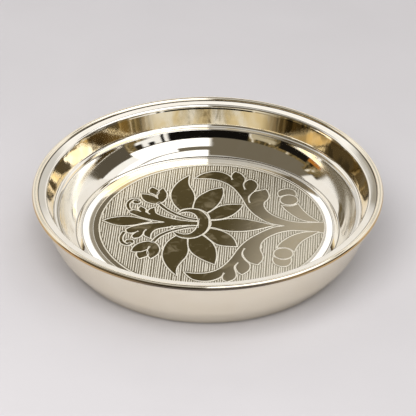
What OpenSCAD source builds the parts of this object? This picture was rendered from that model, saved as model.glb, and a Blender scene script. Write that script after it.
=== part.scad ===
// Puja thali: a round double-walled offering tray of polished sheet metal.
// An inner dish hangs inside an outer shell. The shell's top edge is rolled inwards over a
// stiffening wire and down on the dish's lip, which it clamps all round.
// The origin is the centre of the flat underside, and Z points up out of the bowl.

/* [Overall] */
// Outside diameter over the rolled rim
rim_d = 178; // [150:1:220]
// Height from the underside to the top of the rim
height = 34; // [31:0.5:42]

/* [Sheet metal] */
// Thickness of the dish's sheet
dish_t = 0.6; // [0.4:0.05:0.7]
// Thickness of the shell's sheet
shell_t = 0.6; // [0.4:0.05:0.7]

/* [Rolled rim] */
// Outside diameter of the rolled bead
bead_d = 3.2; // [3:0.1:3.8]
// Free space between the wire and the sheet rolled round it
wire_clearance = 0.1; // [0.05:0.05:0.2]
// Height of the lip's edge above the middle of the bead
lip_rise = 0.4; // [0.2:0.05:0.5]
// Free space between the rolled edge and the lip under it
seat_clearance = 0.05; // [0.02:0.01:0.1]

/* [Dish lip and upper wall] */
// Width of the lip from its edge to the corner where the wall drops away
lip_w = 4.6; // [3.5:0.1:6]
// Fall of the lip towards the bowl
lip_fall = 0.5; // [0.2:0.1:0.8]
// Radius at which the lip turns down into the wall
lip_turn = 1.4; // [1:0.1:3.5]
// Depth of the ledge below the top of the rim
ledge_depth = 12.7; // [11:0.1:14.5]
// How far the upper wall leans in from the lip's corner to the ledge
upper_wall_lean = 3.8; // [3:0.1:7]
// Width of the ledge
ledge_w = 2.6; // [2:0.1:3]
// Radius of the hollow where the upper wall meets the ledge
ledge_hollow_turn = 1.8; // [0.8:0.1:2]

/* [Dish lower wall and floor] */
// Depth of the floor below the top of the rim
floor_depth = 24; // [20.5:0.1:26]
// How far the lower wall leans in from the ledge to the groove round the floor
lower_wall_lean = 8.2; // [6:0.1:10]
// Radius of the hollow of the lower wall
lower_wall_turn = 20; // [12:0.5:21]
// Depth of the groove round the raised ring, below the land
groove_depth = 0.8; // [0.4:0.1:1.2]
// Width of the raised ring, from the groove to the land
ring_w = 3.2; // [2.8:0.1:5]
// Height of the raised ring's crest above the land
ring_h = 0.35; // [0.2:0.05:0.6]
// Width of the flat land inside the raised ring
land_w = 3.5; // [3:0.1:6]
// Depth of the round field below the land
field_depth = 0.15; // [0.1:0.05:0.2]

/* [Outer shell] */
// Diameter of the flat underside, to the corner
base_d = 142.4; // [110:0.2:144]
// Radius of the corner round the underside
base_turn = 2.5; // [1.5:0.1:4]
// Height of the bend where the steep wall starts to tuck under
tuck_h = 10; // [7:0.5:14]
// How far the tuck leans in from the bend to the underside, or more where the dish needs room
tuck_lean = 7.4; // [5:0.1:9]
// Least space between the dish's hollow and the shell's bend
wall_clearance = 2.8; // [2:0.1:4]
// Radius of the bend
tuck_turn = 20; // [10:1:24]

/* [Hidden] */
$fn = 180;

silver = [0.86, 0.84, 0.79];
warm_silver = [0.80, 0.77, 0.70];
steel = [0.62, 0.62, 0.62];
// Widest turn between two points of an arc, and half a turn, in degrees
arc_step = 6;
half_turn = 180;
// How far a cut runs past the face that it opens
overrun = 1;
// Least radius on the inner side of a bend in a sheet
tight_turn = 0.1;

// Rim: centre and radii of the bead's section
rim_r = rim_d / 2;
bead_r = bead_d / 2;
bead_c = [rim_r - bead_r, height - bead_r];
roll_r = bead_r - shell_t;
wire_r = roll_r - wire_clearance;
neck_angle = -80;
neck_drop = 0.35;
neck_turn = 0.4;

// Dish: places of the section's corners, from the lip inwards
lip_edge = [bead_c[0] - wire_r - wire_clearance, bead_c[1] + lip_rise];
lip_corner = [lip_edge[0] - lip_w, lip_edge[1] - lip_fall];
ledge_z = height - ledge_depth;
ledge_outer = [lip_corner[0] - upper_wall_lean, ledge_z];
ledge_inner = [ledge_outer[0] - ledge_w, ledge_z];
floor_z = height - floor_depth;
groove = [ledge_inner[0] - lower_wall_lean, floor_z - groove_depth];
ring_inner_r = groove[0] - ring_w;
field_r = ring_inner_r - land_w;
fold_turn = dish_t + tight_turn;
groove_turn = 0.8;
land_turn = 0.4;
crest_in_share = 0.8125;
crest = [groove[0] - ring_w * crest_in_share, floor_z + ring_h];
hollow_in_share = 0.74;
hollow_up_share = 0.4;
hollow = [groove[0] + lower_wall_lean * hollow_in_share,
    groove[1] + (ledge_z - groove[1]) * hollow_up_share];

// Shell: places of the section's corners
base_r = base_d / 2;
dish_room_r = hollow[0] + dish_t + wall_clearance + shell_t;
tuck_corner = [max(base_r + tuck_lean, dish_room_r), tuck_h];
neck = [bead_c[0] - neck_drop, bead_c[1] - bead_r - neck_drop];

// Unit vector from a to b
function toward(a, b) = (b - a) / norm(b - a);
// Quarter turn to the left
function left(v) = [-v[1], v[0]];

// Points of an arc round c, from angle a0 to a1
function arc(c, r, a0, a1) =
    let (n = max(1, ceil(abs(a1 - a0) / arc_step)))
    [for (i = [0 : n]) let (a = a0 + (a1 - a0) * i / n) c + r * [cos(a), sin(a)]];

// Half of the angle between the two legs that meet at b
function half_angle(a, b, c) = acos(max(-1, min(1, toward(b, a) * toward(b, c)))) / 2;

// The turn at b, limited by its shorter leg less the room for the turns at the legs' far ends
function fitting_turn(a, b, c, turn, room) =
    min(turn, (min(norm(a - b), norm(c - b)) - room) * tan(half_angle(a, b, c)));

// The corner b between a and c, rounded to radius r
function rounded(a, b, c, r) =
    let (
        u = toward(b, a),
        v = toward(b, c),
        half = half_angle(a, b, c),
        centre = b + toward([0, 0], u + v) * r / sin(half),
        side = sign(u[0] * v[1] - u[1] * v[0]),
        start = b + u * r / tan(half) - centre,
        a0 = atan2(start[1], start[0])
    )
    arc(centre, r, a0, a0 - side * (half_turn - 2 * half));

// A run of corners [r, z, turn] as one smooth line; a turn of zero stays sharp
function line_of(corners) = [
    for (i = [0 : len(corners) - 1])
        let (k = corners[i], p = [k[0], k[1]])
        each (k[2] == 0 ? [p] : rounded(
            [corners[i - 1][0], corners[i - 1][1]], p, [corners[i + 1][0], corners[i + 1][1]], k[2]))
];

// The same line moved sideways by t, to the left where t is above zero
function moved(line, t) = [
    for (i = [0 : len(line) - 1])
        let (
            before = left(toward(line[max(i - 1, 0)], line[max(i, 1)])),
            last = len(line) - 1,
            after = left(toward(line[min(i, last - 1)], line[min(i + 1, last)])),
            mid = toward([0, 0], before + after)
        )
        line[i] + mid * t / (mid * after)
];

// The section of a sheet: one face, and the other face at thickness t
function sheet(line, t) = concat(line, [for (i = [len(line) - 1 : -1 : 0]) moved(line, t)[i]]);

// Upper face of the dish, from the middle of the floor out to the edge of the lip
hollow_turn = fitting_turn(groove, hollow, ledge_inner, lower_wall_turn, fold_turn);
ledge_turn = fitting_turn(lip_corner, ledge_outer, ledge_inner, ledge_hollow_turn, fold_turn);
dish_face = line_of([
    [0, floor_z, 0],
    [ring_inner_r, floor_z, land_turn],
    [crest[0], crest[1], fold_turn],
    [groove[0], groove[1], groove_turn],
    [hollow[0], hollow[1], hollow_turn],
    [ledge_inner[0], ledge_z, fold_turn],
    [ledge_outer[0], ledge_z, ledge_turn],
    [lip_corner[0], lip_corner[1], lip_turn],
    [lip_edge[0], lip_edge[1], 0]
]);

// Outer face of the shell, from the middle of the underside up to the bead
shell_wall = line_of([
    [0, 0, 0],
    [base_r, 0, base_turn],
    [tuck_corner[0], tuck_corner[1], tuck_turn],
    [neck[0], neck[1], neck_turn],
    [bead_c[0] + bead_r * cos(neck_angle), bead_c[1] + bead_r * sin(neck_angle), 0]
]);
// The edge rolls round the wire and stops just above the lip
roll_end = half_turn - asin((lip_rise + seat_clearance) / roll_r);
roll = arc(bead_c, bead_r, neck_angle, roll_end);
shell_face = concat(shell_wall, [for (i = [1 : len(roll) - 1]) roll[i]]);

module outer_shell() {
    color(warm_silver)
        rotate_extrude()
            polygon(sheet(shell_face, shell_t));
}

module inner_dish() {
    color(silver)
        difference() {
            rotate_extrude()
                polygon(sheet(dish_face, -dish_t));
            translate([0, 0, floor_z - field_depth])
                cylinder(r = field_r, h = field_depth + overrun);
        }
}

module rim_wire() {
    color(steel)
        rotate_extrude()
            translate(bead_c)
                circle(r = wire_r);
}

outer_shell();
inner_dish();
rim_wire();
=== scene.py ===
"""A puja thali: a round double-walled offering tray of polished sheet metal with an engraved lotus.

The two sheets are lines of corners turned round the middle, as in the CAD model but finer. The
engraving stands on the floor of the dish: plates for the figures, a bright cut line round each, and
hatching between. Lengths are in millimetres until a mesh is made, apart from the engraving's, which
are shares of its own radius, and the sizes of the stage, which are in metres.
"""
import math
from functools import cached_property

import bmesh
import bpy
import numpy as np
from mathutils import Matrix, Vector


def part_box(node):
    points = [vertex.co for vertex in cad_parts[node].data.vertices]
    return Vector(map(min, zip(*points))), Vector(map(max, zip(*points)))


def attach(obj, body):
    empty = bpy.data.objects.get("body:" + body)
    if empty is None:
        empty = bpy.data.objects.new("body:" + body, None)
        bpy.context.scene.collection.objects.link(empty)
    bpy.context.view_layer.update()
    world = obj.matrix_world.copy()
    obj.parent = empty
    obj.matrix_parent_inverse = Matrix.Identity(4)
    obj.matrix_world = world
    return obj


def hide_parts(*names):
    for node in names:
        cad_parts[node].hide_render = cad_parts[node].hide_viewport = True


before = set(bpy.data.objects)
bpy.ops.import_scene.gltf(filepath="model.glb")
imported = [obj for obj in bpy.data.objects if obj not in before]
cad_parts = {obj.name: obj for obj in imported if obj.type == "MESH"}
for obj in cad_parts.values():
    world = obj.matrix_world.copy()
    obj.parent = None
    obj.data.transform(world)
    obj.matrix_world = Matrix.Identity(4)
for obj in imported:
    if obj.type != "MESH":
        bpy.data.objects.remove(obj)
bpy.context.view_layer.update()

MM = 0.001
SEED = 7
HALF_TURN = 180

# Driving sizes of the two sheets, the same as in the CAD model
SHEET_T = 0.6
WIRE_CLEARANCE = 0.1
SEAT_CLEARANCE = 0.05
LIP_RISE = 0.4
LIP_W = 4.6
LIP_FALL = 0.5
LIP_TURN = 1.4
LEDGE_DEPTH = 12.7
UPPER_WALL_LEAN = 3.8
LEDGE_W = 2.6
LEDGE_TURN = 1.8
FLOOR_DEPTH = 24.0
LOWER_WALL_LEAN = 8.2
HOLLOW_UP_SHARE = 0.40
GROOVE_DEPTH = 0.8
GROOVE_TURN = 0.8
RING_W = 3.2
RING_H = 0.35
CREST_IN_SHARE = 0.8125
LAND_W = 3.5
LAND_TURN = 0.4
FIELD_DEPTH = 0.15
FOLD_TURN = 0.7
BASE_R = 71.2
BASE_TURN = 2.5
TUCK_LEAN = 7.4
TUCK_H = 10.0
TUCK_TURN = 20.0
NECK_DROP = 0.35
NECK_TURN = 0.4
NECK_ANGLE = -80.0

# Sizes that only this script has: the hollow wall's curve, the floor's fine steps and the meshes' steps
HOLLOW_IN_SHARE = 0.66
HOLLOW_TURN = 26.0
LAND_FALL = 0.12
FIELD_EDGE_W = 0.15
RING_FOOT_W = 0.6
SCRIBE_IN = 2.1
SCRIBE_W = 0.24
SCRIBE_H = 0.03
GUARD_W = 0.1
ARC_STEP = 4.0
TURNS = 420
ON_AXIS = 1e-6

# Places of the sections' corners, from the frame's boxes and the sizes above
RIM_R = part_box("outer_shell")[1][0] / MM
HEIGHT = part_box("outer_shell")[1][2] / MM
wire_low, wire_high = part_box("rim_wire")
WIRE_R = (wire_high[2] - wire_low[2]) / MM / 2
BEAD_R = WIRE_R + WIRE_CLEARANCE + SHEET_T
ROLL_R = BEAD_R - SHEET_T
BEAD_C = (RIM_R - BEAD_R, HEIGHT - BEAD_R)
LIP_EDGE = (BEAD_C[0] - ROLL_R, BEAD_C[1] + LIP_RISE)
LIP_CORNER = (LIP_EDGE[0] - LIP_W, LIP_EDGE[1] - LIP_FALL)
LEDGE_Z = HEIGHT - LEDGE_DEPTH
LEDGE_OUT = LIP_CORNER[0] - UPPER_WALL_LEAN
LEDGE_IN = LEDGE_OUT - LEDGE_W
FLOOR_Z = HEIGHT - FLOOR_DEPTH
GROOVE = (LEDGE_IN - LOWER_WALL_LEAN, FLOOR_Z - GROOVE_DEPTH)
HOLLOW = (GROOVE[0] + LOWER_WALL_LEAN * HOLLOW_IN_SHARE,
          GROOVE[1] + (LEDGE_Z - GROOVE[1]) * HOLLOW_UP_SHARE)
CREST = (GROOVE[0] - RING_W * CREST_IN_SHARE, FLOOR_Z + RING_H)
RING_IN = GROOVE[0] - RING_W
FIELD_R = RING_IN - LAND_W
FIELD_Z = FLOOR_Z - FIELD_DEPTH
FIELD_RIM = FIELD_R + FIELD_EDGE_W
SCRIBE_R = FIELD_R - SCRIBE_IN
SCRIBE_MID = SCRIBE_R + SCRIBE_W / 2
SCRIBE_END = SCRIBE_R + SCRIBE_W
TUCK = (BASE_R + TUCK_LEAN, TUCK_H)
NECK = (BEAD_C[0] - NECK_DROP, BEAD_C[1] - BEAD_R - NECK_DROP)


# Sections: lines of corners, each with its distance from the axis, its height and its bend radius
def unit(v):
    """The vector v, brought to a length of one."""
    return np.array(v) / np.hypot(*v)


def arc(centre, r, a0, a1):
    """Points of an arc round the centre, from angle a0 to a1 in degrees."""
    n = max(2, math.ceil(abs(a1 - a0) / ARC_STEP))
    angles = np.radians(np.linspace(a0, a1, n + 1))
    return [(centre[0] + r * math.cos(a), centre[1] + r * math.sin(a)) for a in angles]


def rounded(a, b, c, r):
    """The corner b between a and c, rounded to radius r."""
    u, v = unit(np.subtract(a, b)), unit(np.subtract(c, b))
    half = math.degrees(math.acos(np.clip(u @ v, -1, 1))) / 2
    centre = np.array(b) + unit(u + v) * r / math.sin(math.radians(half))
    start = np.array(b) + u * r / math.tan(math.radians(half)) - centre
    side = math.copysign(1, u[0] * v[1] - u[1] * v[0])
    a0 = math.degrees(math.atan2(start[1], start[0]))
    return arc(centre, r, a0, a0 - side * (HALF_TURN - 2 * half))


def line_of(corners):
    """A run of corners as one smooth line. A bend radius of zero stays sharp."""
    out = []
    for i, (r, z, turn) in enumerate(corners):
        if turn:
            out += rounded(corners[i - 1][:2], (r, z), corners[i + 1][:2], turn)
        else:
            out.append((r, z))
    return out


def moved(line, t):
    """The same line moved sideways by t, to the left where t is above zero."""
    p = np.array(line)
    d = np.diff(p, axis=0)
    d /= np.hypot(d[:, 0], d[:, 1])[:, None]
    normals = np.c_[-d[:, 1], d[:, 0]]
    before, after = np.vstack([normals[:1], normals]), np.vstack([normals, normals[-1:]])
    mid = before + after
    mid /= np.hypot(mid[:, 0], mid[:, 1])[:, None]
    return [tuple(q) for q in p + mid * (t / (mid * after).sum(1))[:, None]]


def sheet(line, t):
    """The closed section of a sheet: one face, and back along the other face at thickness t."""
    return line + moved(line, t)[::-1]


def on_land(r):
    """A sharp corner on the land, which falls a little from the ring to the field."""
    return (r, FLOOR_Z - LAND_FALL * (RING_IN - r) / (RING_IN - FIELD_R), 0)


# A guard corner lies beside each fine step of the floor, so that the flat beyond it shades evenly
DISH_FACE = line_of([
    (0, FIELD_Z, 0),
    (SCRIBE_R - GUARD_W, FIELD_Z, 0),
    (SCRIBE_R, FIELD_Z, 0),
    (SCRIBE_MID, FIELD_Z + SCRIBE_H, 0),
    (SCRIBE_END, FIELD_Z, 0),
    (SCRIBE_END + GUARD_W, FIELD_Z, 0),
    (FIELD_R - GUARD_W, FIELD_Z, 0),
    (FIELD_R, FIELD_Z, 0),
    on_land(FIELD_RIM),
    on_land(FIELD_RIM + GUARD_W),
    on_land(RING_IN - RING_FOOT_W),
    (RING_IN, FLOOR_Z, LAND_TURN),
    (*CREST, FOLD_TURN),
    (*GROOVE, GROOVE_TURN),
    (*HOLLOW, HOLLOW_TURN),
    (LEDGE_IN, LEDGE_Z, FOLD_TURN),
    (LEDGE_OUT, LEDGE_Z, LEDGE_TURN),
    (*LIP_CORNER, LIP_TURN),
    (*LIP_EDGE, 0),
])
BEAD_START = (BEAD_C[0] + BEAD_R * math.cos(math.radians(NECK_ANGLE)),
              BEAD_C[1] + BEAD_R * math.sin(math.radians(NECK_ANGLE)))
SHELL_WALL = line_of([
    (0, 0, 0),
    (BASE_R, 0, BASE_TURN),
    (*TUCK, TUCK_TURN),
    (*NECK, NECK_TURN),
    (*BEAD_START, 0),
])
ROLL_END = HALF_TURN - math.degrees(math.asin((LIP_RISE + SEAT_CLEARANCE) / ROLL_R))
SHELL_FACE = SHELL_WALL + arc(BEAD_C, BEAD_R, NECK_ANGLE, ROLL_END)[1:]

# Meshes: the angle in degrees from which an edge is shaded sharp, for each kind
SHEET_SHARP = 40
FIGURE_SHARP = 25
CUT_SHARP = 60


def face_outwards(mesh):
    """Turns every face's front to the outside of its solid."""
    bm = bmesh.new()
    bm.from_mesh(mesh)
    bmesh.ops.recalc_face_normals(bm, faces=bm.faces)
    bm.to_mesh(mesh)
    bm.free()


def new_piece(name, verts, faces, material, sharp):
    """A mesh object of the part, which rides on the part's one body."""
    mesh = bpy.data.meshes.new(name)
    mesh.from_pydata([tuple(v) for v in verts], [], faces)
    mesh.validate()
    face_outwards(mesh)
    mesh.polygons.foreach_set("use_smooth", [True] * len(mesh.polygons))
    mesh.set_sharp_from_angle(angle=math.radians(sharp))
    mesh.materials.append(material)
    obj = bpy.data.objects.new(name, mesh)
    bpy.context.scene.collection.objects.link(obj)
    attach(obj, "root")
    return obj


def lathe(name, section, material):
    """A closed section turned all the way round. A corner on the axis makes one point."""
    verts, rings, faces = [], [], []
    for r, z in section:
        start = len(verts)
        if r < ON_AXIS:
            rings.append([start] * TURNS)
            verts.append((0, 0, z * MM))
            continue
        rings.append(list(range(start, start + TURNS)))
        for k in range(TURNS):
            a = 2 * math.pi * k / TURNS
            verts.append((r * MM * math.cos(a), r * MM * math.sin(a), z * MM))
    for i, low in enumerate(rings):
        high = rings[(i + 1) % len(rings)]
        if low[0] == low[1] and high[0] == high[1]:
            continue
        for k in range(TURNS):
            n = (k + 1) % TURNS
            face = [low[k], low[n], high[n], high[k]]
            faces.append(list(dict.fromkeys(face)))
    return new_piece(name, verts, faces, material, SHEET_SHARP)


# Engraving: places are in shares of its radius, x along the stem and y away from the viewer
MEDAL_R = 0.652 * RIM_R
MEDAL_C = (0.0267 * RIM_R, 0.0430 * RIM_R)
MEDAL_TURN = math.radians(-3.5)
BORDER_C = np.array((0.0, -0.06))
SPLINE_STEPS = 6
DISC_POINTS = 40
BORDER_POINTS = 240
SAME_PLACE = 1e-4
TINY = 1e-12
# Heights of the engraving, in millimetres
GROUND_Z = FIELD_Z
PLATE_H = 0.15
LINE_H = PLATE_H * 1.2
# The bright line round a figure: its width, and how its corners are kept from running away
LINE_W = 0.0150
TIP_LIMIT = 2.0
FOLD_BACK = 1e-3
# The hatching: its cuts, how unsteady the hand was, and the shares of LINE_W that it keeps clear
HATCH_PITCH = 0.0206
HATCH_W = 0.0112
HATCH_STEP = 0.006
HATCH_SHIFT = 0.0003
HATCH_WAVE = 0.00016
HATCH_CALM = 15
HATCH_UNEVEN = 0.10
SHORTEST_CUT = 4
TAPER_START = 0.35
TAPER_STEP = 0.3
FIGURE_GAP_SHARE = 1.1
BORDER_GAP_SHARE = 1.25
NEARBY = 0.05
# Section of a cut line: places across in half widths, and up in heights
RIDGE = ((-1.0, -0.3), (-0.62, 0.72), (0.0, 1.0), (0.62, 0.72), (1.0, -0.3))
# Figures: each is a list of runs, a run is a smooth curve, and a figure turns sharply between runs
FIGURES = {
    "crescent": [
        [(-.315, .113), (-.265, .145), (-.205, .147), (-.155, .110), (-.128, .045), (-.120, -.030),
         (-.132, -.110), (-.165, -.180), (-.215, -.212), (-.270, -.206), (-.328, -.175)],
        [(-.328, -.175), (-.285, -.237), (-.200, -.262), (-.120, -.235), (-.065, -.172), (-.037, -.090),
         (-.033, -.030), (-.042, .050), (-.078, .125), (-.130, .175), (-.200, .192), (-.268, .170),
         (-.315, .113)]],
    "petal_1": [
        [(-.296, .178), (-.345, .250), (-.380, .340), (-.392, .430), (-.380, .520), (-.350, .605),
         (-.310, .670), (-.255, .735)],
        [(-.255, .735), (-.258, .650), (-.245, .570), (-.212, .495), (-.190, .420), (-.184, .340),
         (-.196, .212)],
        [(-.196, .212), (-.248, .203), (-.296, .178)]],
    "petal_2": [
        [(-.178, .211), (-.176, .280), (-.163, .350), (-.135, .410), (-.090, .465), (-.035, .515),
         (.055, .555)],
        [(.055, .555), (.066, .490), (.061, .410), (.045, .330), (.015, .255), (-.020, .195),
         (-.058, .152)],
        [(-.058, .152), (-.115, .196), (-.178, .211)]],
    "petal_3": [
        [(-.042, .133), (.000, .190), (.045, .243), (.100, .274), (.170, .288), (.248, .290)],
        [(.248, .290), (.237, .245), (.213, .195), (.182, .145), (.140, .098), (.085, .064),
         (.030, .047), (-.017, .042)],
        [(-.017, .042), (-.026, .090), (-.042, .133)]],
    "petal_4": [
        [(-.010, .012), (.050, .025), (.120, .049), (.200, .060), (.280, .056), (.360, .035),
         (.440, .008), (.535, -.020)],
        [(.535, -.020), (.460, -.058), (.380, -.095), (.300, -.120), (.220, -.130), (.140, -.127),
         (.080, -.108), (.030, -.087), (-.010, -.081)],
        [(-.010, -.081), (-.003, -.034), (-.010, .012)]],
    "petal_5": [
        [(-.013, -.108), (.050, -.126), (.100, -.150), (.150, -.188), (.187, -.235), (.213, -.290),
         (.232, -.367)],
        [(.232, -.367), (.170, -.367), (.110, -.360), (.060, -.342), (.020, -.300), (-.020, -.250),
         (-.058, -.200)],
        [(-.058, -.200), (-.030, -.155), (-.013, -.108)]],
    "petal_6": [
        [(-.078, -.218), (-.030, -.272), (.015, -.330), (.042, -.395), (.057, -.460), (.063, -.530),
         (.062, -.590), (.055, -.650)],
        [(.055, -.650), (.000, -.618), (-.060, -.576), (-.110, -.530), (-.150, -.478), (-.175, -.420),
         (-.187, -.350), (-.188, -.283)],
        [(-.188, -.283), (-.125, -.260), (-.078, -.218)]],
    "petal_7": [
        [(-.207, -.283), (-.202, -.350), (-.190, -.430), (-.190, -.500), (-.205, -.565), (-.235, -.630),
         (-.260, -.700), (-.270, -.765), (-.264, -.830)],
        [(-.264, -.830), (-.310, -.770), (-.350, -.700), (-.382, -.620), (-.398, -.540), (-.396, -.455),
         (-.380, -.375), (-.350, -.305), (-.305, -.243)],
        [(-.305, -.243), (-.260, -.272), (-.207, -.283)]],
    "scroll": [
        [(.640, -.013), (.560, .000), (.500, .025), (.450, .062), (.400, .112), (.350, .175),
         (.300, .265), (.250, .395), (.200, .500), (.150, .580), (.100, .632), (.050, .667),
         (.000, .690), (-.060, .703), (-.120, .704), (-.188, .702)],
        [(-.188, .702), (-.145, .760), (-.085, .800), (-.020, .816), (.040, .806), (.090, .772),
         (.120, .735), (.142, .685)],
        [(.142, .685), (.134, .740), (.140, .790), (.162, .826)],
        [(.162, .826), (.205, .798), (.235, .755), (.250, .700), (.238, .640), (.243, .590), (.265, .532)],
        [(.265, .532), (.253, .600), (.258, .650), (.278, .688), (.305, .706)],
        [(.305, .706), (.345, .675), (.365, .630), (.363, .580), (.335, .505), (.298, .440),
         (.296, .380), (.318, .312)],
        [(.318, .312), (.310, .380), (.322, .450), (.350, .503), (.392, .528), (.446, .552)],
        [(.446, .552), (.468, .500), (.476, .440), (.464, .390), (.440, .345), (.438, .290),
         (.452, .240), (.482, .185), (.530, .132), (.590, .090), (.660, .055), (.750, .036),
         (.850, .036), (.985, .050)],
        [(.985, .050), (.990, -.030), (.985, -.108)],
        [(.985, -.108), (.900, -.090), (.800, -.083), (.700, -.086), (.620, -.112), (.550, -.155),
         (.490, -.215), (.450, -.280), (.436, -.350), (.440, -.420), (.460, -.480), (.466, -.530),
         (.456, -.580), (.428, -.632)],
        [(.428, -.632), (.370, -.608), (.330, -.560), (.306, -.505), (.298, -.450), (.310, -.390)],
        [(.310, -.390), (.282, -.450), (.285, -.515), (.315, -.580), (.352, -.632), (.360, -.685),
         (.345, -.738), (.302, -.788)],
        [(.302, -.788), (.268, -.752), (.250, -.700), (.250, -.660), (.266, -.612)],
        [(.266, -.612), (.230, -.660), (.226, -.710), (.242, -.770), (.247, -.825), (.226, -.872),
         (.182, -.905)],
        [(.182, -.905), (.150, -.880), (.142, -.830), (.152, -.772)],
        [(.152, -.772), (.124, -.830), (.085, -.872), (.030, -.902), (-.030, -.910), (-.090, -.898),
         (-.135, -.868), (-.190, -.795)],
        [(-.190, -.795), (-.120, -.808), (-.050, -.806), (.010, -.790), (.060, -.765), (.110, -.720),
         (.150, -.662), (.190, -.585), (.222, -.500), (.258, -.400), (.300, -.315), (.350, -.240),
         (.400, -.185), (.450, -.135), (.500, -.092), (.560, -.052), (.640, -.028)]],
    "berry_cap_1": [
        [(.576, .450), (.565, .508), (.590, .550), (.640, .571), (.690, .556), (.716, .512), (.716, .466)],
        [(.716, .466), (.670, .486), (.620, .477), (.576, .450)]],
    "berry_stem_1": [
        [(.610, .295), (.650, .228), (.700, .167), (.750, .117), (.800, .083), (.850, .066), (.930, .062)],
        [(.930, .062), (.875, .115), (.835, .165), (.800, .218), (.768, .275), (.745, .330)],
        [(.745, .330), (.705, .298), (.660, .288), (.610, .295)]],
    "berry_cap_2": [
        [(.565, -.515), (.565, -.570), (.590, -.620), (.637, -.646), (.686, -.632), (.710, -.582),
         (.711, -.525)],
        [(.711, -.525), (.670, -.550), (.620, -.550), (.565, -.515)]],
    "berry_stem_2": [
        [(.595, -.365), (.605, -.325), (.640, -.262), (.690, -.202), (.740, -.158), (.800, -.126),
         (.870, -.108), (.935, -.104)],
        [(.935, -.104), (.900, -.135), (.850, -.186), (.800, -.246), (.767, -.310), (.748, -.365),
         (.737, -.410)],
        [(.737, -.410), (.700, -.372), (.650, -.356), (.595, -.365)]],
    "frond": [
        [(-.126, -.010), (-.200, -.008), (-.280, .003), (-.350, .022), (-.420, .047), (-.480, .080),
         (-.515, .120), (-.528, .196)],
        [(-.528, .196), (-.562, .172), (-.576, .130), (-.555, .082)],
        [(-.555, .082), (-.602, .120), (-.606, .165), (-.650, .207)],
        [(-.650, .207), (-.662, .170), (-.640, .118)],
        [(-.640, .118), (-.685, .141), (-.728, .144), (-.740, .108)],
        [(-.740, .108), (-.690, .077), (-.640, .047), (-.580, .020), (-.520, .000), (-.420, -.022)],
        [(-.420, -.036), (-.520, -.054), (-.600, -.076), (-.670, -.105), (-.718, -.133), (-.747, -.165)],
        [(-.747, -.165), (-.735, -.202), (-.700, -.212), (-.632, -.180)],
        [(-.632, -.180), (-.668, -.222), (-.686, -.262), (-.670, -.292)],
        [(-.670, -.292), (-.628, -.275), (-.605, -.232), (-.597, -.190), (-.568, -.148)],
        [(-.568, -.148), (-.585, -.200), (-.576, -.246), (-.532, -.280)],
        [(-.532, -.280), (-.530, -.220), (-.512, -.170), (-.470, -.130), (-.400, -.103), (-.330, -.083),
         (-.260, -.068), (-.200, -.059), (-.126, -.056)]],
    "leaf": [
        [(-.957, -.035), (-.905, .000), (-.850, .022), (-.780, .035), (-.700, .029), (-.630, .007),
         (-.545, -.024)],
        [(-.545, -.024), (-.610, -.050), (-.670, -.078), (-.735, -.096), (-.800, -.101), (-.870, -.085),
         (-.957, -.035)]],
    "bud_1": [
        [(-.500, .262), (-.458, .305), (-.436, .370), (-.441, .440), (-.475, .514)],
        [(-.475, .514), (-.502, .470), (-.514, .420), (-.510, .375), (-.506, .337)],
        [(-.506, .337), (-.550, .378), (-.600, .400), (-.657, .407)],
        [(-.657, .407), (-.650, .365), (-.632, .325), (-.600, .290), (-.552, .268), (-.500, .262)]],
    "bud_heart_1": [
        [(-.525, .398), (-.512, .440), (-.522, .482), (-.573, .522)],
        [(-.573, .522), (-.593, .482), (-.584, .438)],
        [(-.584, .438), (-.555, .425), (-.525, .398)]],
    "bud_2": [
        [(-.500, -.345), (-.462, -.383), (-.440, -.440), (-.440, -.500), (-.462, -.550), (-.500, -.597)],
        [(-.500, -.597), (-.523, -.550), (-.533, -.500), (-.530, -.455), (-.520, -.410)],
        [(-.520, -.410), (-.543, -.460), (-.580, -.490), (-.627, -.504), (-.673, -.498)],
        [(-.673, -.498), (-.662, -.442), (-.636, -.397), (-.600, -.364), (-.552, -.345), (-.500, -.345)]],
    "bud_heart_2": [
        [(-.545, -.478), (-.530, -.520), (-.536, -.560), (-.598, -.603)],
        [(-.598, -.603), (-.618, -.560), (-.622, -.513)],
        [(-.622, -.513), (-.585, -.507), (-.545, -.478)]],
}
# Bands along a curve: its points, and the band's width at the start and the end
BANDS = {
    "bud_stalk_1": (
        [(-.126, .024), (-.200, .038), (-.260, .062), (-.320, .097), (-.380, .140), (-.430, .188),
         (-.465, .232), (-.497, .275)], .018, .024),
    "bud_stalk_2": (
        [(-.126, -.084), (-.200, -.092), (-.260, -.113), (-.320, -.142), (-.380, -.180), (-.430, -.226),
         (-.470, -.280), (-.500, -.350)], .018, .024),
    "curl_1": (
        [(-.737, .140), (-.762, .195), (-.767, .250), (-.747, .300), (-.707, .322), (-.677, .308)],
        .020, .024),
    "curl_2": (
        [(-.764, -.205), (-.782, -.268), (-.782, -.326), (-.762, -.374), (-.720, -.398), (-.692, -.381)],
        .020, .024),
}
# Discs: centre and radius
DISCS = {
    "berry_1": ((.663, .395), .073),
    "berry_2": ((.645, -.455), .077),
    "curl_ball_1": ((-.692, .285), .030),
    "curl_ball_2": ((-.704, -.354), .033),
    "seed_1": ((-.345, .055), .010),
    "seed_2": ((-.350, -.105), .010),
}


def spline(points):
    """A smooth line through the points (Catmull-Rom)."""
    p = np.array(points, float)
    ext = np.vstack([p[:1], p, p[-1:]])
    t = np.linspace(0, 1, SPLINE_STEPS, endpoint=False)[:, None]
    out = []
    for a, b, c, d in zip(ext, ext[1:], ext[2:], ext[3:]):
        out.append(0.5 * (2 * b + (c - a) * t + (2 * a - 5 * b + 4 * c - d) * t**2
                          + (3 * b - a - 3 * c + d) * t**3))
    return np.vstack(out + [p[-1:]])


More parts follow.
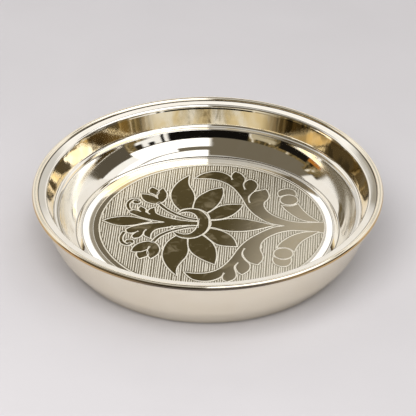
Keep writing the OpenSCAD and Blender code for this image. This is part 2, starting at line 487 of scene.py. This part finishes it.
def clean_loop(p):
    """The closed line without doubled points, turning left."""
    p = p[np.hypot(*(p - np.roll(p, 1, axis=0)).T) > SAME_PLACE]
    x, y = p.T
    area = (x * np.roll(y, -1) - np.roll(x, -1) * y).sum()
    return p if area > 0 else p[::-1]


def figure_outline(runs):
    """The closed line of a figure, from its runs."""
    return clean_loop(np.vstack([spline(run) for run in runs]))


def band_outline(points, start_w, end_w):
    """The closed line round a band that follows a curve."""
    p = spline(points)
    d = np.gradient(p, axis=0)
    d /= np.hypot(d[:, 0], d[:, 1])[:, None]
    side = np.c_[-d[:, 1], d[:, 0]] * np.linspace(start_w, end_w, len(p))[:, None] / 2
    return clean_loop(np.vstack([p + side, (p - side)[::-1]]))


def disc_outline(centre, r, n=DISC_POINTS):
    """A circle of n points."""
    a = np.linspace(0, 2 * math.pi, n, endpoint=False)
    return np.c_[centre[0] + r * np.cos(a), centre[1] + r * np.sin(a)]


def medal_outlines():
    """The outline of every figure, by name."""
    out = {name: figure_outline(runs) for name, runs in FIGURES.items()}
    out.update({name: band_outline(*band) for name, band in BANDS.items()})
    out.update({name: disc_outline(*disc) for name, disc in DISCS.items()})
    return out


def placed(points, z):
    """Points of the engraving's own frame as places in the object, in metres."""
    c, s = math.cos(MEDAL_TURN), math.sin(MEDAL_TURN)
    p = np.asarray(points)
    x = MEDAL_C[0] + MEDAL_R * (p[:, 0] * c - p[:, 1] * s)
    y = MEDAL_C[1] + MEDAL_R * (p[:, 0] * s + p[:, 1] * c)
    return np.c_[x, y, np.broadcast_to(z, x.shape)] * MM


def border_centre():
    """Centre of the engraving's border, in millimetres."""
    return placed([BORDER_C], 0)[0, :2] / MM


def grown(loop, d):
    """The closed line moved outwards by d, with its corners kept from running away."""
    ahead = np.roll(loop, -1, axis=0) - loop
    ahead /= np.hypot(ahead[:, 0], ahead[:, 1])[:, None]
    normal = np.c_[ahead[:, 1], -ahead[:, 0]]
    mid = normal + np.roll(normal, 1, axis=0)
    mid /= np.maximum(np.hypot(mid[:, 0], mid[:, 1]), FOLD_BACK)[:, None]
    stretch = np.minimum(1 / np.maximum((mid * normal).sum(1), FOLD_BACK), TIP_LIMIT)[:, None]
    return loop + mid * stretch * d


def plates(outlines, material):
    """The figures' flat tops and their sides, down into the floor."""
    verts, faces = [], []
    for loop in outlines.values():
        n, start = len(loop), len(verts)
        verts += [*placed(loop, GROUND_Z + PLATE_H), *placed(loop, GROUND_Z - SHEET_T / 2)]
        faces.append(list(range(start, start + n)))
        for k in range(n):
            m = (k + 1) % n
            faces.append([start + m, start + k, start + n + k, start + n + m])
    return new_piece("lotus_figures", verts, faces, material, FIGURE_SHARP)


def add_ridge(verts, faces, line, widths, height, closed):
    """A rounded cut line: the section RIDGE drawn along a line of the engraving's frame."""
    p = np.asarray(line)
    d = np.roll(p, -1, axis=0) - np.roll(p, 1, axis=0) if closed else np.gradient(p, axis=0)
    d /= np.maximum(np.hypot(d[:, 0], d[:, 1]), TINY)[:, None]
    side = np.c_[-d[:, 1], d[:, 0]] * (widths / 2)[:, None]
    n, m, start = len(p), len(RIDGE), len(verts)
    rows = [placed(p - side * across, GROUND_Z + height * up) for across, up in RIDGE]
    for i in range(n):
        verts += [row[i] for row in rows]
    for i in range(n if closed else n - 1):
        a, b = start + i * m, start + (i + 1) % n * m
        for j in range(m - 1):
            faces.append([a + j, b + j, b + j + 1, a + j + 1])


def outline_ridges(outlines, material):
    """The bright line cut round each figure, and the line round the whole field."""
    border = disc_outline(BORDER_C, 1 - LINE_W / 2, BORDER_POINTS)
    verts, faces = [], []
    for line in [*(grown(loop, LINE_W / 2) for loop in outlines.values()), border]:
        add_ridge(verts, faces, line, np.full(len(line), LINE_W), LINE_H, True)
    return new_piece("engraved_outlines", verts, faces, material, CUT_SHARP)


def distance_and_inside(points, loop):
    """Distance from each point to the closed line, and whether the point is inside it."""
    a, b = loop, np.roll(loop, -1, axis=0)
    ab = b - a
    rel = points[:, None, :] - a[None]
    t = np.clip((rel * ab).sum(2) / np.maximum((ab * ab).sum(1), TINY), 0, 1)
    dist = np.hypot(*(rel - t[..., None] * ab).transpose(2, 0, 1)).min(1)
    crosses = (a[None, :, 1] > points[:, 1:]) != (b[None, :, 1] > points[:, 1:])
    slope = np.where(ab[:, 1] == 0, TINY, ab[:, 1])
    at = a[None, :, 0] + (points[:, 1:] - a[None, :, 1]) * (ab[:, 0] / slope)[None]
    inside = (crosses & (points[:, :1] < at)).sum(1) % 2 == 1
    return dist, inside


def hatch_line(rng, x, ys):
    """One upright cut across the whole field, a little unsteady as cut by hand."""
    shift = rng.normal(0, HATCH_SHIFT)
    wave = np.cumsum(rng.normal(0, HATCH_WAVE, len(ys)))
    wave = np.convolve(wave, np.ones(HATCH_CALM) / HATCH_CALM, "same")
    return np.c_[x + shift + wave - wave.mean(), ys]


def clear_of(outlines, points):
    """Whether each point lies inside the border and clear of every figure."""
    free = np.hypot(*(points - BORDER_C).T) < 1 - LINE_W * BORDER_GAP_SHARE
    for loop in outlines.values():
        low, high = loop.min(0) - NEARBY, loop.max(0) + NEARBY
        near = free & (points > low).all(1) & (points < high).all(1)
        if near.any():
            dist, inside = distance_and_inside(points[near], loop)
            free[near] = (dist > LINE_W * FIGURE_GAP_SHARE) & ~inside
    return free


def tapered(width, n):
    """Widths along a cut of n points, which is narrower at both ends."""
    from_end = np.minimum(np.arange(n), np.arange(n)[::-1])
    return width * np.clip(TAPER_START + from_end * TAPER_STEP, 0, 1)


def hatch_ridges(outlines, material):
    """Parallel cuts over the ground, stopping short of the figures."""
    rng = np.random.default_rng(SEED)
    verts, faces = [], []
    ys = BORDER_C[1] + np.arange(-1, 1, HATCH_STEP)
    count = int(1 / HATCH_PITCH)
    for k in range(-count, count + 1):
        points = hatch_line(rng, k * HATCH_PITCH, ys)
        free = clear_of(outlines, points)
        edges = np.flatnonzero(np.diff(np.r_[0, free.astype(int), 0]))
        for first, last in zip(edges[::2], edges[1::2]):
            n = last - first
            if n < SHORTEST_CUT:
                continue
            widths = tapered(HATCH_W * (1 + rng.normal(0, HATCH_UNEVEN)), n)
            kept = np.r_[0, np.arange(1, n - 1, 2), n - 1]
            add_ridge(verts, faces, points[first + kept], widths[kept], PLATE_H, False)
    return new_piece("engraved_hatching", verts, faces, material, CUT_SHARP)


# Colours of the metal and the cloth, in linear light
SILVER = (0.935, 0.912, 0.868, 1)
SILVER_WARM = (0.912, 0.882, 0.818, 1)
WALL_REFLECTION_GOLD = (0.80, 0.66, 0.38, 1)
SIDE_REFLECTION_GOLD = (0.93, 0.73, 0.40, 1)
CORNER_REFLECTION_DARK = (0.17, 0.125, 0.055, 1)
CORNER_REFLECTION_BROWN = (0.40, 0.30, 0.15, 1)
CREASE_SHADE = (0.16, 0.135, 0.095, 1)
MARGIN_OUTER = (0.84, 0.80, 0.72, 1)
MARGIN_INNER = (0.40, 0.355, 0.27, 1)
SCRIBE_BRIGHT = (0.95, 0.93, 0.87, 1)
SEAM_SHADE = (0.09, 0.07, 0.045, 1)
SHEEN_BRIGHT = (0.965, 0.945, 0.90, 1)
GROUND_DARK = (0.22, 0.19, 0.13, 1)
GROUND_PALE = (0.42, 0.385, 0.30, 1)
CREAM = (0.985, 0.92, 0.775, 1)
CREAM_DEEP = (0.965, 0.89, 0.735, 1)
BEAD_SILVER = (0.90, 0.84, 0.72, 1)
BEAD_REFLECTION_DARK = (0.045, 0.026, 0.014, 1)
BEAD_REFLECTION_GOLD = (0.66, 0.43, 0.17, 1)
UNDERSIDE_DULL = (0.60, 0.55, 0.46, 1)
FIGURE_OLIVE = (0.066, 0.050, 0.018, 1)
FIGURE_PALE = (0.48, 0.43, 0.335, 1)
FIGURE_BLOT = (0.48, 0.415, 0.28, 1)
FIGURE_SPECK = (0.14, 0.12, 0.08, 1)
FIGURE_EDGE = (1.0, 0.88, 0.66, 1)
CUT_DULL = (0.70, 0.66, 0.56, 1)
CUT_BRIGHT = (0.93, 0.90, 0.82, 1)
FLOOR_LOW = (0.495, 0.489, 0.520, 1)
FLOOR_HIGH = (0.540, 0.533, 0.567, 1)

# The floor catches more light towards the stem's end: along x, and along y by this share
STEM_SLANT = -0.25
# Where the painted light and the wear change, in millimetres: each tint fades in from the first value to
# the second
STEM_END = (6.0, 52.0)
GOLD_REFLECTION_SIDES = (22.0, 52.0)
CORNER_REFLECTION_RIGHT = (22.0, 46.0)
CORNER_REFLECTION_BACK = (8.0, 30.0)
WEAR_AND_SHEEN_SIDES = (52.0, 66.0)
BEAD_REFLECTION_SIDES = (22.0, 62.0)


class Graph:
    """A node tree, written as short calls."""

    def __init__(self, owner):
        owner.use_nodes = True
        self.owner = owner
        self.tree = owner.node_tree

    def feed(self, socket, value):
        """Links another node's output to the socket, or sets the socket's value."""
        if isinstance(value, bpy.types.NodeSocket):
            self.tree.links.new(value, socket)
        else:
            socket.default_value = value

    def node(self, kind, inputs=(), **settings):
        made = self.tree.nodes.new(kind)
        for key, value in settings.items():
            setattr(made, key, value)
        for key, value in dict(inputs).items():
            self.feed(made.inputs[key], value)
        return made

    def math(self, operation, *values):
        return self.node("ShaderNodeMath", enumerate(values), operation=operation).outputs[0]

    def plus(self, a, b):
        return self.math("ADD", a, b)

    def minus(self, a, b):
        return self.math("SUBTRACT", a, b)

    def times(self, a, b):
        return self.math("MULTIPLY", a, b)

    def step(self, value, low, high):
        return self.node("ShaderNodeMapRange", {"Value": value, "From Min": low, "From Max": high},
                         interpolation_type="SMOOTHSTEP").outputs["Result"]

    def fade(self, value, low, high):
        """One below low and zero above high."""
        return self.minus(1, self.step(value, low, high))

    def band(self, value, low, high, soft):
        """One between low and high, fading to zero over the soft width on both sides."""
        return self.times(self.step(value, low, low + soft), self.fade(value, high - soft, high))

    def near(self, value, middle, width):
        return self.band(value, middle - width, middle + width, width)

    def noise(self, vector, scale, detail, distortion):
        return self.node("ShaderNodeTexNoise", {"Vector": vector, "Scale": scale, "Detail": detail,
                                                "Distortion": distortion}).outputs["Fac"]

    def mix(self, factor, a, b, label=""):
        return self.node("ShaderNodeMix", {0: factor, 6: a, 7: b}, data_type="RGBA",
                         label=label).outputs[2]


class MaterialGraph(Graph):
    """A material's node tree, with calls for its surface."""

    def __init__(self, name):
        super().__init__(bpy.data.materials.new(name))

    def bump(self, height, strength):
        """Normals from a height in millimetres."""
        return self.node("ShaderNodeBump", {"Height": height, "Strength": strength,
                                            "Distance": MM}).outputs[0]

    def surface(self, **values):
        """Sets the surface and gives the finished material."""
        shader = self.tree.nodes["Principled BSDF"]
        for key, value in values.items():
            self.feed(shader.inputs[key.replace("_", " ")], value)
        return self.owner


class Place:
    """Where a shaded point lies on the object, in millimetres.

    It has x, y and z, the distance r from the axis, and the distance sideways from the middle.
    """

    def __init__(self, g):
        self.g = g
        coords = g.node("ShaderNodeTexCoord").outputs["Object"]
        self.point = g.node("ShaderNodeVectorMath", {0: coords, 3: 1 / MM}, operation="SCALE").outputs[0]
        self.x, self.y, self.z = g.node("ShaderNodeSeparateXYZ", {0: self.point}).outputs

    @cached_property
    def r(self):
        return self.reach((0, 0))

    @cached_property
    def sideways(self):
        return self.g.math("ABSOLUTE", self.x)

    def reach(self, centre):
        """Distance in millimetres from an upright line through the centre."""
        g = self.g
        dx, dy = g.minus(self.x, centre[0]), g.minus(self.y, centre[1])
        return g.math("SQRT", g.plus(g.times(dx, dx), g.times(dy, dy)))

    def to_stem(self):
        """Zero over the flower and one towards the stem's end, where the floor catches more light."""
        g = self.g
        return g.step(g.plus(self.x, g.times(self.y, STEM_SLANT)), *STEM_END)

    def round_about(self, along, across):
        """Coordinates for noise that runs round the object: the angle, and height plus distance."""
        g = self.g
        angle = g.math("ARCTAN2", self.y, self.x)
        return g.node("ShaderNodeCombineXYZ", {
            0: g.times(g.math("SINE", angle), along),
            1: g.times(g.math("COSINE", angle), along),
            2: g.times(g.plus(self.z, self.r), across)}).outputs[0]


# Materials of the dish, one function for each part of its face
def wall_tints(g, p, wall, colour):
    """The upper wall: painted reflections: mottled gold, deeper gold at the sides and dark brown at the
    right of the back.
    """
    wall_mottle = g.noise(p.round_about(9.0, 0.05), 1.0, 2.0, 0.5)
    # Painted reflection: gold mottling over the upper wall
    gold_reflection = g.times(wall, g.times(g.step(wall_mottle, 0.38, 0.64), 0.8))
    colour = g.mix(gold_reflection, colour, WALL_REFLECTION_GOLD)
    # Painted reflection: deeper gold on the upper wall's left and right sides
    gold = g.times(wall, g.step(p.sideways, *GOLD_REFLECTION_SIDES))
    colour = g.mix(g.times(gold, 0.6), colour, SIDE_REFLECTION_GOLD)
    # Painted reflection: dark brown over the upper wall at the right of the back
    corner = g.times(g.step(p.x, *CORNER_REFLECTION_RIGHT), g.step(p.y, *CORNER_REFLECTION_BACK))
    corner_reflection = g.mix(g.step(wall_mottle, 0.40, 0.55), CORNER_REFLECTION_DARK, CORNER_REFLECTION_BROWN)
    return g.mix(g.times(g.times(wall, corner), 0.9), colour, corner_reflection)


def crease_tints(g, p, colour):
    """Painted shade in the sharp bends: the groove, the ledge's inner edge and the foot of the ring."""
    bends = g.math("MAXIMUM", g.near(p.r, GROOVE[0], 0.45), g.near(p.r, LEDGE_IN + 0.15, 0.22))
    bends = g.math("MAXIMUM", bends, g.near(p.r, RING_IN, 0.35))
    return g.mix(g.times(bends, 0.75), colour, CREASE_SHADE)


def margin_tints(g, p, margin, colour):
    """The flat round the engraving: dull inside the scribed circle, which is bright itself."""
    inner = g.math("LESS_THAN", p.r, SCRIBE_R)
    colour = g.mix(margin, colour, g.mix(inner, MARGIN_OUTER, MARGIN_INNER))
    return g.mix(g.near(p.r, SCRIBE_MID, 0.22), colour, SCRIBE_BRIGHT)


def engraved_ground(g, p):
    """One on the field inside the engraving's border, and zero elsewhere."""
    inside = g.fade(p.reach(border_centre()), MEDAL_R - 0.5, MEDAL_R)
    below = g.math("LESS_THAN", p.z, FLOOR_Z - 0.05)
    above = g.math("GREATER_THAN", p.z, FIELD_Z - 0.2)
    return g.times(g.times(inside, below), above)


def silver_sheet():
    """The dish: mirror polish with lathe marks, painted reflections on the upper wall, painted shade in
    the bends and a duller floor.
    """
    g = MaterialGraph("polished_silver")
    p = Place(g)
    patches = g.noise(p.point, 0.10, 3.0, 0.4)
    wall = g.band(p.z, LEDGE_Z + 1.0, LIP_CORNER[1] - 1.2, 0.8)
    margin = g.math("LESS_THAN", p.r, FIELD_R)
    ground = engraved_ground(g, p)
    # Wear and painted sheen: the lower wall's left and right sides are rougher, and their colour is
    # painted brighter
    wear_and_sheen = g.times(g.band(p.z, GROOVE[1] + 2.5, LEDGE_Z - 0.3, 1.5), g.step(p.sideways, *WEAR_AND_SHEEN_SIDES))
    # Painted shade: a dark line where the lip's edge tucks in under the bead
    seam = g.near(p.r, LIP_EDGE[0] - SHEET_T + 0.05, 0.55)
    colour = g.mix(g.step(patches, 0.3, 0.7), SILVER, SILVER_WARM)
    colour = wall_tints(g, p, wall, colour)
    colour = crease_tints(g, p, colour)
    colour = margin_tints(g, p, margin, colour)
    colour = g.mix(g.times(seam, 0.93), colour, SEAM_SHADE)
    colour = g.mix(wear_and_sheen, colour, SHEEN_BRIGHT)
    # Painted light: the engraved ground is painted paler towards the stem's end
    colour = g.mix(ground, colour, g.mix(p.to_stem(), GROUND_DARK, GROUND_PALE))
    rough = g.plus(0.035, g.times(g.step(patches, 0.35, 0.8), 0.030))
    for mask, more in ((margin, 0.03), (wear_and_sheen, 0.13), (ground, 0.22)):
        rough = g.plus(rough, g.times(mask, more))
    marks = g.noise(p.round_about(0.3, 26.0), 1.0, 2.0, 0.0)
    depth = g.plus(0.15, g.times(g.step(p.r, RING_IN, RING_IN + 1.0), 0.85))
    ripple = g.noise(p.round_about(14.0, 0.05), 1.0, 2.0, 0.3)
    height = g.plus(g.times(g.times(marks, depth), 0.0010), g.times(g.times(ripple, wall), 0.045))
    return g.surface(Base_Color=colour, Metallic=1.0, Roughness=rough, Normal=g.bump(height, 1.0))


def shell_sheet_metal():
    """The shell: a softer, creamier polish, spun all the way round, with a painted reflection on the bead.
    """
    g = MaterialGraph("spun_silver")
    p = Place(g)
    patches = g.noise(p.point, 0.06, 3.0, 0.5)
    marks = g.noise(p.round_about(0.2, 14.0), 1.0, 2.0, 0.0)
    bead = g.step(p.z, NECK[1] + 0.2, NECK[1] + 0.5)
    colour = g.mix(g.step(patches, 0.3, 0.7), CREAM, CREAM_DEEP)
    colour = g.mix(g.times(bead, 0.8), colour, BEAD_SILVER)
    # Painted reflection: the bead's outer face is dark at the front and back and gold at the sides
    bead_reflection = g.mix(g.step(p.sideways, *BEAD_REFLECTION_SIDES), BEAD_REFLECTION_DARK, BEAD_REFLECTION_GOLD)
    outside = g.times(g.step(p.r, BEAD_C[0] - 0.3, BEAD_C[0] + 0.5),
                      g.band(p.z, BEAD_C[1] - 0.55, BEAD_C[1] + 1.20, 0.35))
    colour = g.mix(g.times(outside, 0.9), colour, bead_reflection)
    colour = g.mix(g.times(g.fade(p.z, 0.0, 0.6), 0.35), colour, UNDERSIDE_DULL)
    rough = g.minus(g.plus(0.20, g.times(marks, 0.08)), g.times(bead, 0.15))
    bump = g.bump(g.times(marks, 0.004), 1.0)
    return g.surface(Base_Color=colour, Metallic=1.0, Roughness=rough, Normal=bump)


def satin_figures():
    """The figures: dulled metal, olive over the flower and painted paler towards the stem, as painted
    light.
    """
    g = MaterialGraph("satin_figures")
    p = Place(g)
    blots = g.noise(p.point, 0.16, 5.0, 0.8)
    specks = g.noise(p.point, 1.6, 2.0, 0.0)
    # Painted light: the figures are painted paler towards the stem's end
    colour = g.mix(p.to_stem(), FIGURE_OLIVE, FIGURE_PALE)
    colour = g.mix(g.times(g.step(blots, 0.5, 0.75), 0.35), colour, FIGURE_BLOT)
    colour = g.mix(g.times(g.step(specks, 0.62, 0.8), 0.25), colour, FIGURE_SPECK)
    rough = g.plus(0.26, g.times(blots, 0.16))
    bump = g.bump(g.times(specks, 0.02), 0.5)
    return g.surface(Base_Color=colour, Metallic=0.85, Roughness=rough, Normal=bump,
                     Specular_Tint=FIGURE_EDGE)


def bright_cut():
    """The cut lines: bare bright metal with a broken, grainy surface."""
    g = MaterialGraph("bright_cut")
    grain = g.noise(Place(g).point, 2.2, 3.0, 0.0)
    colour = g.mix(g.step(grain, 0.35, 0.6), CUT_DULL, CUT_BRIGHT)
    bump = g.bump(g.times(grain, 0.05), 0.6)
    return g.surface(Base_Color=colour, Metallic=0.72, Roughness=0.42, Normal=bump)


def floor_cloth():
    """The cloth under the tray: matt and pale, with broad faint painted shade of folds."""
    g = MaterialGraph("floor_cloth")
    p = Place(g)
    weave = g.noise(p.point, 0.9, 3.0, 0.0)
    fold_shade = g.noise(p.point, 0.012, 2.0, 0.6)
    colour = g.mix(fold_shade, FLOOR_LOW, FLOOR_HIGH)
    bump = g.bump(g.times(weave, 0.10), 0.5)
    return g.surface(Base_Color=colour, Roughness=0.92, Normal=bump)


# Floor: half its width and how far it lies under the tray, in metres
FLOOR_REACH = 4.0
FLOOR_DROP = 0.05 * MM


def stage_floor():
    """A flat square of cloth, which isn't part of the object."""
    mesh = bpy.data.meshes.new("floor")
    corners = ((-1, -1), (1, -1), (1, 1), (-1, 1))
    mesh.from_pydata([(x * FLOOR_REACH, y * FLOOR_REACH, -FLOOR_DROP) for x, y in corners], [],
                     [(0, 1, 2, 3)])
    mesh.materials.append(floor_cloth())
    obj = bpy.data.objects.new("floor", mesh)
    bpy.context.scene.collection.objects.link(obj)


# Camera: where the photograph was taken from, with the distance in rim radii
VIEW_RADII = 16.0
VIEW_ELEVATION = 33.1
FOCAL_PX = 2809.0
IMAGE_PX = 416
AIM_BELOW_PX = 18.8
AIM_BESIDE_PX = 0.4
SENSOR = 36.0
CLIP_END = 30


def make_camera():
    """The camera, aimed a little below and beside the rim's centre."""
    data = bpy.data.cameras.new("camera")
    data.sensor_width = SENSOR
    data.lens = FOCAL_PX / IMAGE_PX * SENSOR
    data.clip_end = CLIP_END
    camera = bpy.data.objects.new("camera", data)
    bpy.context.scene.collection.objects.link(camera)
    e = math.radians(VIEW_ELEVATION)
    away = Vector((0, -math.cos(e), math.sin(e)))
    camera.location = Vector((0, 0, BEAD_C[1] * MM)) + away * VIEW_RADII * RIM_R * MM
    pitch = math.atan(AIM_BELOW_PX / FOCAL_PX)
    yaw = math.atan(AIM_BESIDE_PX / FOCAL_PX)
    camera.rotation_euler = (math.pi / 2 - e - pitch, 0, -yaw)
    bpy.context.scene.camera = camera


# Lamp: its place and size in metres
LAMP_PLACE = (-0.24, -0.50, 0.82)
LAMP_SIZE = 0.80
LAMP_WATTS = 8.5
LAMP_COLOUR = (1.0, 0.975, 0.94)


def make_lamp():
    """A broad soft lamp above the viewer's left for the cloth; the metal sees only the studio."""
    data = bpy.data.lights.new("soft_lamp", "AREA")
    data.shape = "DISK"
    data.size = LAMP_SIZE
    data.energy = LAMP_WATTS
    data.color = LAMP_COLOUR
    lamp = bpy.data.objects.new("soft_lamp", data)
    lamp.location = LAMP_PLACE
    lamp.rotation_euler = Vector(LAMP_PLACE).to_track_quat("Z", "Y").to_euler()
    lamp.visible_glossy = False
    bpy.context.scene.collection.objects.link(lamp)


# Studio: what the metal sees, in degrees of compass (0 behind the object, 90 right) and of height
ROOM = (0.165, 0.140, 0.098)
CLUTTER_SIDES = (77, 80)
CLUTTER_TOP = (29, 32)
STREAKS_ACROSS = 0.21
STREAKS_UP = 0.045
STREAK_STOPS = (
    (0.33, (0.022, 0.016, 0.007, 1)),
    (0.43, (0.085, 0.064, 0.028, 1)),
    (0.49, (0.25, 0.17, 0.065, 1)),
    (0.54, (0.095, 0.076, 0.038, 1)),
    (0.61, (0.36, 0.27, 0.13, 1)),
    (0.72, (0.95, 0.90, 0.80, 1)),
)
# Panels: name, from, to, low, high, soft edges (across, up), colour, strength; later ones lie on top
STUDIO = (
    ("ceiling", -180, 30, 63, 90, (4, 4), (1.00, 0.97, 0.91), 0.60),
    ("backdrop_high", -77, 77, 28, 40, (3, 2), (1.00, 0.96, 0.90), 0.66),
    ("backdrop_top", -77, 77, 38, 48, (3, 2), (1.00, 0.97, 0.92), 1.05),
    ("backdrop", -77, 77, -8, 30, (3, 2), (1.00, 0.96, 0.90), 0.92),
    ("wing_left", -84, -45, 28, 40, (3, 3), (1.00, 0.96, 0.90), 0.92),
    ("wing_right", 45, 84, 28, 40, (3, 3), (1.00, 0.96, 0.90), 0.92),
    ("white_card", -1.2, 1.2, 31, 36.5, (0.5, 1.0), (1.00, 0.99, 0.97), 1.25),
    ("grey_card", -5.2, -1.5, 31.0, 37.5, (0.5, 0.8), (0.36, 0.325, 0.265), 1.0),
    ("boom", -30, 40, 49, 64, (4, 3), (0.050, 0.028, 0.008), 1.0),
    ("ceiling_left", -75, -28, 47, 64, (4, 3), (1.00, 0.97, 0.92), 0.60),
    ("boom_high", -26, 26, 60, 78, (3, 3), (0.050, 0.028, 0.008), 1.0),
    ("softbox_high", 30, 180.5, 52, 90, (3, 3), (1.00, 0.99, 0.97), 1.8),
    ("softbox", 113, 182, 24, 43, (7, 2), (1.00, 0.99, 0.97), 1.7),
    ("softbox_side", 84, 152, 42, 50, (2, 2), (1.00, 0.99, 0.97), 1.5),
    ("dark_side", 79, 116, -8, 31.5, (2, 2), (0.098, 0.082, 0.058), 1.0),
    ("cream_side", 79, 116, 31.5, 43, (2, 2), (1.00, 0.98, 0.94), 1.02),
    ("camera_side", 150, 211, 8.8, 23.5, (1.2, 1.2), (0.006, 0.005, 0.004), 1.0),
    ("table_edge", 138, 224, -8, 8.4, (16, 1), (0.80, 0.72, 0.555), 1.0),
    ("window", 124, 150, 9, 22, (3, 1.5), (1.00, 0.98, 0.94), 1.0),
    ("window_post", 144.5, 147, 9, 23.5, (1, 1), (0.012, 0.010, 0.008), 1.0),
    ("window_frame", 134, 139, 15.5, 23.5, (2, 2), (0.012, 0.010, 0.008), 1.0),
    ("window_edge", 123, 129, 13, 24, (2, 2), (0.030, 0.022, 0.012), 1.0),
    ("window_right", 213, 232, 9, 15, (4, 3), (1.00, 0.86, 0.58), 0.50),
    ("dark_chair", 236, 262, 6, 18, (1.5, 1.5), (0.010, 0.008, 0.006), 1.0),
    ("far_room", 184, 264, 22.8, 34, (3, 2), (0.165, 0.140, 0.098), 1.0),
    ("lamp_glow", 262, 275, 5, 13, (1.5, 1.5), (0.45, 0.17, 0.03), 1.0),
)


def streaks(g, compass, height):
    """The room's clutter: upright streaks of dark wood, brass and pale cloth."""
    place = g.node("ShaderNodeCombineXYZ", {0: g.times(compass, STREAKS_ACROSS),
                                            1: g.times(height, STREAKS_UP)}).outputs[0]
    ramp = g.node("ShaderNodeValToRGB", {"Fac": g.noise(place, 1.0, 2.0, 0.6)})
    marks = ramp.color_ramp.elements
    marks[0].position, marks[0].color = STREAK_STOPS[0]
    marks[1].position, marks[1].color = STREAK_STOPS[-1]
    for position, colour in STREAK_STOPS[1:-1]:
        marks.new(position).color = colour
    return ramp.outputs["Color"]


def panel_mask(g, compass, height, sides, ends, soft):
    """One on the panel and zero beside it, with soft edges. The compass wraps at half a turn."""
    middle, half = sum(sides) / 2, (sides[1] - sides[0]) / 2
    across, up = soft[0] / 2, soft[1] / 2
    off = g.math("ABSOLUTE", g.math("WRAP", g.minus(compass, middle), HALF_TURN, -HALF_TURN))
    inside = g.fade(off, half - across, half + across)
    above = g.step(height, ends[0] - up, ends[0] + up)
    below = g.fade(height, ends[1] - up, ends[1] + up)
    return g.times(inside, g.times(above, below))


def make_world():
    """A plain room with streaks of clutter low down on the viewer's side, and the panels over both."""
    g = Graph(bpy.data.worlds.new("studio"))
    bpy.context.scene.world = g.owner
    where = g.node("ShaderNodeTexCoord").outputs["Generated"]
    x, y, z = g.node("ShaderNodeSeparateXYZ", {0: where}).outputs
    height = g.times(g.math("ARCSINE", z), math.degrees(1))
    compass = g.times(g.math("ARCTAN2", x, y), math.degrees(1))
    clutter = g.times(g.step(g.math("ABSOLUTE", compass), *CLUTTER_SIDES), g.fade(height, *CLUTTER_TOP))
    colour = g.mix(clutter, (*ROOM, 1), streaks(g, compass, height))
    for name, left, right, low, high, soft, tint, strength in STUDIO:
        mask = panel_mask(g, compass, height, (left, right), (low, high), soft)
        lit = (*(c * strength for c in tint), 1)
        colour = g.mix(mask, colour, lit, label=name)
    g.feed(g.tree.nodes["Background"].inputs["Color"], colour)


dish = lathe("dish_sheet", sheet(DISH_FACE, -SHEET_T), silver_sheet())
shell = lathe("shell_sheet", sheet(SHELL_FACE, SHEET_T), shell_sheet_metal())
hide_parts("inner_dish")
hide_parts("outer_shell")
outlines = medal_outlines()
cut = bright_cut()
plates(outlines, satin_figures())
outline_ridges(outlines, cut)
hatch_ridges(outlines, cut)
stage_floor()
make_world()
make_lamp()
make_camera()
bpy.context.scene.view_settings.view_transform = "Standard"
